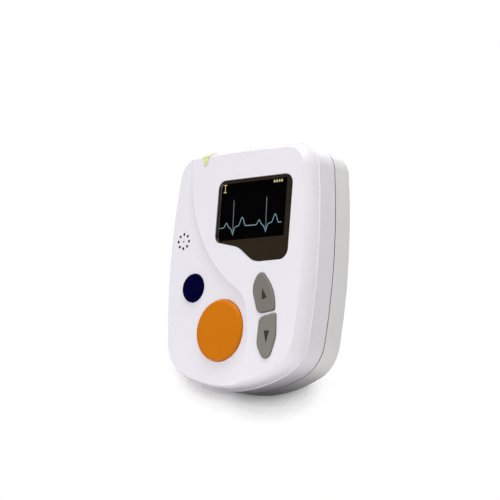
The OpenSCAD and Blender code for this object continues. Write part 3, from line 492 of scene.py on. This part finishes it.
def top_outline(node):
    """Outline of the flat top of a node, in order, in mm."""
    bm = bmesh.new()
    bm.from_mesh(nodes[node].data)
    bmesh.ops.remove_doubles(bm, verts=bm.verts, dist=WELD)
    top = min(v.co.y for v in bm.verts)
    flat = [f for f in bm.faces if all(v.co.y < top + FLAT_WITHIN for v in f.verts)]
    rim = [e for e in bm.edges if sum(f in flat for f in e.link_faces) == 1]
    following = {}
    for e in rim:
        a, b = e.verts
        following.setdefault(a, []).append(b)
        following.setdefault(b, []).append(a)
    start = rim[0].verts[0]
    loop, before, here = [start], None, start
    while True:
        after = [v for v in following[here] if v is not before][0]
        if after is start:
            break
        loop.append(after)
        before, here = here, after
    points = [(v.co.x / MM, v.co.z / MM) for v in loop]
    bm.free()
    return points


def rounded_rect(x0, y0, x1, y1, r, steps=6):
    """Rectangle with round corners, against the clock from the lower right corner."""
    corners = [(x1 - r, y0 + r, -90), (x1 - r, y1 - r, 0), (x0 + r, y1 - r, 90), (x0 + r, y0 + r, 180)]
    points = []
    for cx, cy, turn in corners:
        for k in range(steps + 1):
            a = math.radians(turn + 90 * k / steps)
            points.append((cx + r * math.cos(a), cy + r * math.sin(a)))
    return points


def drawn_in(points, by):
    """The outline moved inwards by the given distance."""
    area = sum(a[0] * b[1] - b[0] * a[1] for a, b in zip(points, points[1:] + points[:1]))
    side = 1 if area > 0 else -1
    moved = []
    for a, p, b in zip(points[-1:] + points[:-1], points, points[1:] + points[:1]):
        ux = b[0] - a[0]
        uy = b[1] - a[1]
        d = math.hypot(ux, uy)
        moved.append((p[0] - side * uy / d * by, p[1] + side * ux / d * by))
    return moved


def sheet_piece(name, loops, z_low, z_high, material, body):
    """A thin sheet between two heights: the first loop is its outline, any other is an opening."""
    bm = bmesh.new()
    edges = []
    for loop in loops:
        ring = [bm.verts.new(place(x, y, z_low)) for x, y in loop]
        edges += [bm.edges.new((a, b)) for a, b in zip(ring, ring[1:] + ring[:1])]
    bmesh.ops.triangle_fill(bm, edges=edges, use_beauty=True)
    lifted = bmesh.ops.extrude_face_region(bm, geom=bm.faces[:])
    for v in lifted["geom"]:
        if isinstance(v, bmesh.types.BMVert):
            v.co.y -= (z_high - z_low) * MM
    verts = [v.co.copy() for v in bm.verts]
    bm.verts.index_update()
    faces = [tuple(v.index for v in f.verts) for f in bm.faces]
    bm.free()
    return mesh_piece(name, verts, faces, material, body)


# The picture as the camera sees it in line with the raised face: left, bottom, right, top
PICTURE = (-10.2, 61.1, 26.3, 84.8)

# Brown print in the window, with an opening for the picture. It lies just under the window's top surface.
PRINT_DEPTH = 0.15
PRINT_T = 0.05
PRINT_IN = 0.08
PRINT_CORNER = 0.5
print_z = WINDOW_TOP - PRINT_DEPTH
opening_low = seen_at(*PICTURE[:2], print_z)
opening_high = seen_at(*PICTURE[2:], print_z)
window_outline = top_outline("display_window")
print_loops = [drawn_in(window_outline, PRINT_IN), rounded_rect(*opening_low, *opening_high, PRINT_CORNER)]
sheet_piece("window_print", print_loops, print_z - PRINT_T, print_z, print_brown, "recorder")

# Dark film of the screen, in the underside of the window, so that the picture fills the opening of the print
FILM_DEEP = 0.01
FILM_T = 0.01
FILM_IN = 0.12
film_z = WINDOW_UNDER + FILM_DEEP
film = drawn_in(window_outline, FILM_IN)
sheet_piece("screen_film", [film], film_z, film_z + FILM_T, soot, "recorder")

# Lines of the picture, just above the film
BAND_T = 0.04
BAND_LIFT = 0.08
BAND_TOP = WINDOW_UNDER + BAND_LIFT
SHARPEST = 0.35
LONGEST_CORNER = 2.4


def line_band(name, points, width, material):
    """A thin flat band that follows a polyline on the screen, widened at its corners to keep its width."""
    verts = []
    faces = []
    n = len(points)
    for i, (x, y) in enumerate(points):
        a = points[max(i - 1, 0)]
        b = points[min(i + 1, n - 1)]
        dx = b[0] - a[0]
        dy = b[1] - a[1]
        d = math.hypot(dx, dy)
        nx = -dy / d * width / 2
        ny = dx / d * width / 2
        if 0 < i < n - 1:
            u = Vector((x - a[0], y - a[1])).normalized()
            v = Vector((b[0] - x, b[1] - y)).normalized()
            straight = math.sqrt((1 + min(u.dot(v), 1)) / 2)
            grow = min(1 / max(straight, SHARPEST), LONGEST_CORNER)
            nx *= grow
            ny *= grow
        # Four corners at each point: left and right on the top, then left and right below
        for z in (BAND_TOP, BAND_TOP - BAND_T):
            verts.append(place(x + nx, y + ny, z))
            verts.append(place(x - nx, y - ny, z))
    for i in range(n - 1):
        a = 4 * i
        b = a + 4
        faces += [(a, b, b + 1, a + 1), (a + 2, a + 3, b + 3, b + 2)]
        faces += [(a, a + 2, b + 2, b), (a + 1, b + 1, b + 3, a + 3)]
    last = 4 * n - 4
    faces += [(0, 1, 3, 2), (last, last + 2, last + 3, last + 1)]
    return mesh_piece(name, verts, faces, material, "recorder")


def on_screen(points):
    """Points of the picture, moved to the height of its bands so that the camera sees them in place."""
    return [seen_at(x, y, BAND_TOP) for x, y in points]


def wave(start, length, base, high, steps, first):
    """Points of one smooth hump, from the given step on."""
    shares = [k / steps for k in range(first, steps + 1)]
    return [(start + length * u, base + high * math.sin(math.pi * u) ** 2) for u in shares]


# Trace: two heart beats. A beat is a small wave, a sharp dip and a broad wave. Its spike is a separate line.
BASELINE = 66.5
LATE_BASE = BASELINE + 0.1
END_BASE = BASELINE + 0.2
BEATS = (-2.5, 15.7)
SPIKE_LOW = 63.3
SPIKE_TOP = 77.6
DIP_LATE = 0.5

# Bends beside the dip: the fall from the beat, the others from the dip, and the depths from the baseline
FALL_BEFORE = 0.6
FALL_DEEP = 0.9
RISE_AFTER = 0.7
RISE_DEEP = 0.6
LEVEL_AFTER = 1.4

SMALL_WAVE = {"length": 3.2, "base": BASELINE, "high": 1.9, "steps": 8, "first": 0}
SMALL_BEFORE = 5.0
BROAD_WAVE = {"length": 4.2, "base": LATE_BASE, "high": 3.6, "steps": 10, "first": 1}
BROAD_AFTER = 3.2
TRACE_W = 0.36
SPIKE_W = 0.34
TRACE_IN_LEFT = 0.1
TRACE_IN_RIGHT = 1.6
TRACE_LOW = PICTURE[0] + TRACE_IN_LEFT
TRACE_HIGH = PICTURE[2] - TRACE_IN_RIGHT


def beat(x0):
    """One heart beat round x0, without its spike."""
    dip = x0 + DIP_LATE
    points = wave(x0 - SMALL_BEFORE, **SMALL_WAVE)
    points += [(x0 - FALL_BEFORE, BASELINE - FALL_DEEP), (dip, SPIKE_LOW)]
    points += [(dip + RISE_AFTER, BASELINE - RISE_DEEP), (dip + LEVEL_AFTER, LATE_BASE)]
    return points + wave(x0 + BROAD_AFTER, **BROAD_WAVE)


trace_glow = glow("trace_light", srgb(106, 131, 139), strength=0.75)
spike_glow = glow("spike_light", srgb(88, 104, 108), strength=0.7)
mark_glow = glow("mark_light", srgb(204, 192, 134), strength=0.8)
trace = [(TRACE_LOW, BASELINE)] + beat(BEATS[0]) + beat(BEATS[1]) + [(TRACE_HIGH, END_BASE)]
line_band("trace", on_screen(trace), TRACE_W, trace_glow)
for k, x in enumerate(BEATS):
    line_band("spike_%d" % k, on_screen([(x + DIP_LATE, SPIKE_LOW), (x, SPIKE_TOP)]), SPIKE_W, spike_glow)

# Calibration mark: a stem between two short bars
MARK_X = -7.9
MARK_LOW = 81.3
MARK_TOP = 84.3
MARK_HALF = 0.75
MARK_BAR_W = 0.4
MARK_STEM_W = 0.3
for k, y in enumerate((MARK_LOW, MARK_TOP)):
    bar = on_screen([(MARK_X - MARK_HALF, y), (MARK_X + MARK_HALF, y)])
    line_band("calibration_bar_%d" % k, bar, MARK_BAR_W, mark_glow)
stem = on_screen([(MARK_X, MARK_LOW), (MARK_X, MARK_TOP)])
line_band("calibration_stem", stem, MARK_STEM_W, mark_glow)

# A plain row of charge bars stands for the words at the top right of the screen
CHARGE_BARS = 4
CHARGE_X = 19.4
CHARGE_Y = 83.7
CHARGE_PITCH = 1.35
CHARGE_HALF = 0.5
CHARGE_W = 0.75
for k in range(CHARGE_BARS):
    x, y = seen_at(CHARGE_X + CHARGE_PITCH * k, CHARGE_Y, BAND_TOP)
    line_band("charge_bar_%d" % k, [(x, y - CHARGE_HALF), (x, y + CHARGE_HALF)], CHARGE_W, mark_glow)


# Floor and ground. Each shows only its upper side, and fades out by an attribute of its points.
PAPER = (0.7, 0.7, 0.7)
PAPER_CLOUD = 40.0
PAPER_VARY = 0.01
FLOOR_LIFT = 0.5
GROUND_LIFT = 0.18
SHOWN = "shown"
LININGS = 2
FOOT_MIDDLE = 0.013
FOOT_HALF_X = 0.042
FOOT_HALF_Y = 0.022
FOOT_SHADE = (0.12, 0.12, 0.12)


def clear_material(name):
    """Lets all light through."""
    m, nt, bsdf = new_material(name)
    clear = nt.nodes.new("ShaderNodeBsdfTransparent")
    nt.links.new(clear.outputs["BSDF"], nt.nodes["Material Output"].inputs["Surface"])
    nt.nodes.remove(bsdf)
    return m


def painted_foot_shade(nt, path, shade):
    """Painted shade: under and behind the foot the floor's colour is darkened for all but camera rays, so
    that it throws little light up into the case. The camera still sees it white.
    """
    x, y, _ = object_axes(nt)
    across = math_node(nt, "MULTIPLY", x, 1 / FOOT_HALF_X)
    along = math_node(nt, "MULTIPLY_ADD", y, 1 / FOOT_HALF_Y, -FOOT_MIDDLE / FOOT_HALF_Y)
    near = math_node(nt, "SUBTRACT", 1.0, squared_distance(nt, across, along), clamp=True)
    unseen = math_node(nt, "SUBTRACT", 1.0, path.outputs["Is Camera Ray"])
    return blend_color(nt, math_node(nt, "MULTIPLY", near, unseen), shade, FOOT_SHADE)


def hide_from_above(nt, path, hidden):
    """Show only to a ray that has come up through the floor and its linings, or that is still below them."""
    above = math_node(nt, "GREATER_THAN", object_axes(nt)[2], 0.0)
    fresh = math_node(nt, "LESS_THAN", path.outputs["Transparent Depth"], LININGS + 0.5)
    return math_node(nt, "MAXIMUM", hidden, math_node(nt, "MULTIPLY", above, fresh))


def paper_material(name, lift, from_below):
    """White paper. The lift makes it read as white to the camera without lighting the object."""
    m, nt, bsdf = new_material(name)
    path = nt.nodes.new("ShaderNodeLightPath")
    is_camera = path.outputs["Is Camera Ray"]
    hidden = nt.nodes.new("ShaderNodeNewGeometry").outputs["Backfacing"]
    shade = varied(nt, noise(nt, PAPER_CLOUD), PAPER, PAPER_VARY)
    if from_below:
        hidden = hide_from_above(nt, path, hidden)
    else:
        # Painted shade on the floor near the foot, seen only in the light it throws up onto the case
        shade = painted_foot_shade(nt, path, shade)
    nt.links.new(shade, bsdf.inputs["Base Color"])
    bsdf.inputs["Roughness"].default_value = 0.9
    bsdf.inputs["Specular IOR Level"].default_value = 0.0
    lifted = nt.nodes.new("ShaderNodeEmission")
    nt.links.new(math_node(nt, "MULTIPLY", is_camera, lift), lifted.inputs["Strength"])
    both = nt.nodes.new("ShaderNodeAddShader")
    nt.links.new(bsdf.outputs["BSDF"], both.inputs[0])
    nt.links.new(lifted.outputs["Emission"], both.inputs[1])
    # The sheet fades out towards its edge, for the camera only
    share = nt.nodes.new("ShaderNodeAttribute")
    share.attribute_name = SHOWN
    gone = math_node(nt, "SUBTRACT", 1.0, share.outputs["Fac"])
    faded = math_node(nt, "MULTIPLY", gone, is_camera)
    clear = nt.nodes.new("ShaderNodeBsdfTransparent")
    pick = nt.nodes.new("ShaderNodeMixShader")
    nt.links.new(math_node(nt, "MAXIMUM", hidden, faded), pick.inputs["Fac"])
    nt.links.new(both.outputs["Shader"], pick.inputs[1])
    nt.links.new(clear.outputs["BSDF"], pick.inputs[2])
    nt.links.new(pick.outputs["Shader"], nt.nodes["Material Output"].inputs["Surface"])
    return m


def stage_sheet(name, rows, shares, material):
    """A sheet through rows of points, its faces upwards. The shares say how much shows at each point."""
    wide = len(rows[0])
    faces = []
    for r in range(len(rows) - 1):
        for k in range(wide - 1):
            a = r * wide + k
            faces.append((a, a + 1, a + wide + 1, a + wide))
    me = bpy.data.meshes.new(name)
    me.from_pydata([tuple(v) for row in rows for v in row], [], faces)
    me.update()
    if me.polygons[-1].normal.z < 0:
        me.flip_normals()
    for p in me.polygons:
        p.use_smooth = True
    me.materials.append(material)
    shown = me.attributes.new(SHOWN, "FLOAT", "POINT")
    shown.data.foreach_set("value", shares)
    o = bpy.data.objects.new(name, me)
    bpy.context.scene.collection.objects.link(o)
    return o


# Rings of the round floor: radius, and share that shows
FLOOR_RINGS = ((0.0, 1.0), (0.16, 1.0), (0.36, 0.0), (1.5, 0.0))
FLOOR_STEPS = 48
FLOOR_DROP = 0.00005


def floor_ring(radius, drop):
    """One ring of the round floor, closed on itself."""
    turns = [2 * math.pi * k / FLOOR_STEPS for k in range(FLOOR_STEPS + 1)]
    return [Vector((radius * math.cos(a), radius * math.sin(a), -drop)) for a in turns]


def round_floor(name, drop, material):
    """A level round sheet a little below the foot."""
    rings = [floor_ring(radius, drop) for radius, _ in FLOOR_RINGS]
    shares = [share for _, share in FLOOR_RINGS for _ in range(FLOOR_STEPS + 1)]
    return stage_sheet(name, rings, shares, material)


round_floor("floor", FLOOR_DROP, paper_material("floor_paper", FLOOR_LIFT, from_below=False))

# Clear linings under the floor. A ray from below passes them all, which tells it from a ray from above.
for k in range(LININGS):
    round_floor("floor_lining_%d" % k, FLOOR_DROP * (k + 2), clear_material("clear_lining_%d" % k))


# The photograph looks up from a little below the foot, where a level floor shows only its underside.
# There a second ground shows through the floor. It hugs the lower outline of the case as the camera
# sees it and falls from there towards the camera, fading out. Views from above the floor see it alone.
GROUND_FALL = math.tan(math.radians(18))
GROUND_BEHIND = 0.006
GROUND_FADE = 0.06
GROUND_SIDE = 0.004
SIDE_COLUMNS = 5
OUTLINE_HIGH = 0.0135
OUTLINE_STEP = 0.002
EVEN_UP = 1
EVEN_AHEAD = 7

# Rows of the ground: distance in front of its back edge, and share that shows
GROUND_ROWS = ((0.0, 1.0), (GROUND_BEHIND, 1.0), (GROUND_FADE / 2, 0.4), (GROUND_FADE, 0.0))


def evened(values, reach):
    """Running mean of a list."""
    means = []
    for k in range(len(values)):
        near = values[max(k - reach, 0):k + reach + 1]
        means.append(sum(near) / len(near))
    return means


def lower_outline():
    """Lower edge of the case as the camera sees it: across, towards the camera, up, and the share shown."""
    lowest = {}
    for node in ("front_case", "rear_case"):
        for v in nodes[node].data.vertices:
            column = round(v.co.dot(view_right) / OUTLINE_STEP)
            if column not in lowest or v.co.dot(view_up) < lowest[column].dot(view_up):
                lowest[column] = v.co
    low = min(p.dot(view_up) for p in lowest.values())
    columns = [c for c in sorted(lowest) if lowest[c].dot(view_up) < low + OUTLINE_HIGH]
    heights = evened([lowest[c].dot(view_up) for c in columns], EVEN_UP)
    depths = evened([lowest[c].dot(ahead) for c in columns], EVEN_AHEAD)
    points = []
    for k, (c, h, w) in enumerate(zip(columns, heights, depths)):
        up = (h - w * ahead.dot(view_up)) / view_up.z
        inward = min(k + 0.5, len(columns) - k - 0.5, SIDE_COLUMNS) / SIDE_COLUMNS
        points.append((c * OUTLINE_STEP, w, up, inward * (1 - ((h - low) / OUTLINE_HIGH) ** 2)))
    left = points[0]
    right = points[-1]
    return [(left[0] - GROUND_SIDE, *left[1:3], 0.0)] + points + [(right[0] + GROUND_SIDE, *right[1:3], 0.0)]


def ground_row(outline, along):
    """One row of the ground, at the given distance in front of its back edge."""
    fall = (GROUND_BEHIND - along) * GROUND_FALL
    row = []
    for u, w, z, _ in outline:
        row.append(ahead * (w - GROUND_BEHIND + along) + view_right * u + Vector((0, 0, z + fall)))
    return row


case_outline = lower_outline()
ground_rows = [ground_row(case_outline, along) for along, _ in GROUND_ROWS]
ground_shares = [share * point[3] for _, share in GROUND_ROWS for point in case_outline]
ground_paper = paper_material("ground_paper", GROUND_LIFT, from_below=True)
ground = stage_sheet("ground", ground_rows, ground_shares, ground_paper)
ground.visible_diffuse = False
ground.visible_glossy = False
ground.visible_transmission = False
ground.visible_shadow = False


def background(nt, strength):
    """A white background of the given strength."""
    n = nt.nodes.new("ShaderNodeBackground")
    n.inputs["Color"].default_value = (1, 1, 1, 1)
    n.inputs["Strength"].default_value = strength
    return n.outputs["Background"]


def make_world(level):
    """Plain white to the camera and in reflections, and a softer level for the light it gives."""
    world = bpy.data.worlds.new("studio")
    bpy.context.scene.world = world
    world.use_nodes = True
    nt = world.node_tree
    nt.nodes.clear()
    out = nt.nodes.new("ShaderNodeOutputWorld")
    path = nt.nodes.new("ShaderNodeLightPath")
    direct = math_node(nt, "MAXIMUM", path.outputs["Is Camera Ray"], path.outputs["Is Glossy Ray"])
    white = math_node(nt, "MAXIMUM", direct, path.outputs["Is Transmission Ray"])
    mix = nt.nodes.new("ShaderNodeMixShader")
    nt.links.new(white, mix.inputs["Fac"])
    nt.links.new(background(nt, level), mix.inputs[1])
    nt.links.new(background(nt, 1.0), mix.inputs[2])
    nt.links.new(mix.outputs["Shader"], out.inputs["Surface"])


WORLD_LEVEL = 0.2
MIDDLE = Vector((0, 0, 0.05))


def lamp(name, az, el, distance, size, level, shadow=True, color=(1, 1, 1), for_ground=False):
    """A round soft lamp. The level is the light that it gives a surface square to it at the middle."""
    data = bpy.data.lights.new(name, "AREA")
    data.shape = "DISK"
    data.size = size
    data.color = color
    data.energy = level * (math.pi * distance) ** 2
    data.use_shadow = shadow
    o = bpy.data.objects.new(name, data)
    bpy.context.scene.collection.objects.link(o)
    away = direction(math.radians(az), math.radians(el))
    o.location = MIDDLE + away * distance
    o.rotation_mode = "QUATERNION"
    o.rotation_quaternion = away.to_track_quat("Z", "Y")
    # A lamp lights either the ground alone or everything but the ground
    receivers = bpy.data.collections.new(name + "_receivers")
    receivers.objects.link(ground)
    o.light_linking.receiver_collection = receivers
    receivers.collection_objects[0].light_linking.link_state = "INCLUDE" if for_ground else "EXCLUDE"


make_world(WORLD_LEVEL)
lamp("top", az=25, el=74, distance=0.9, size=0.5, level=0.9)
lamp("key", az=30, el=14, distance=1.0, size=0.5, level=0.14)
lamp("fill", az=8, el=-16, distance=1.0, size=0.6, level=0.3, shadow=False)
lamp("side", az=110, el=5, distance=1.0, size=0.5, level=0.12, color=(1.0, 0.93, 0.82))
lamp("rear", az=201, el=26, distance=1.05, size=0.7, level=0.5, shadow=False)
lamp("ground_light", az=224, el=79, distance=1.2, size=0.42, level=1.8, for_ground=True)

bpy.context.scene.view_settings.view_transform = "Standard"
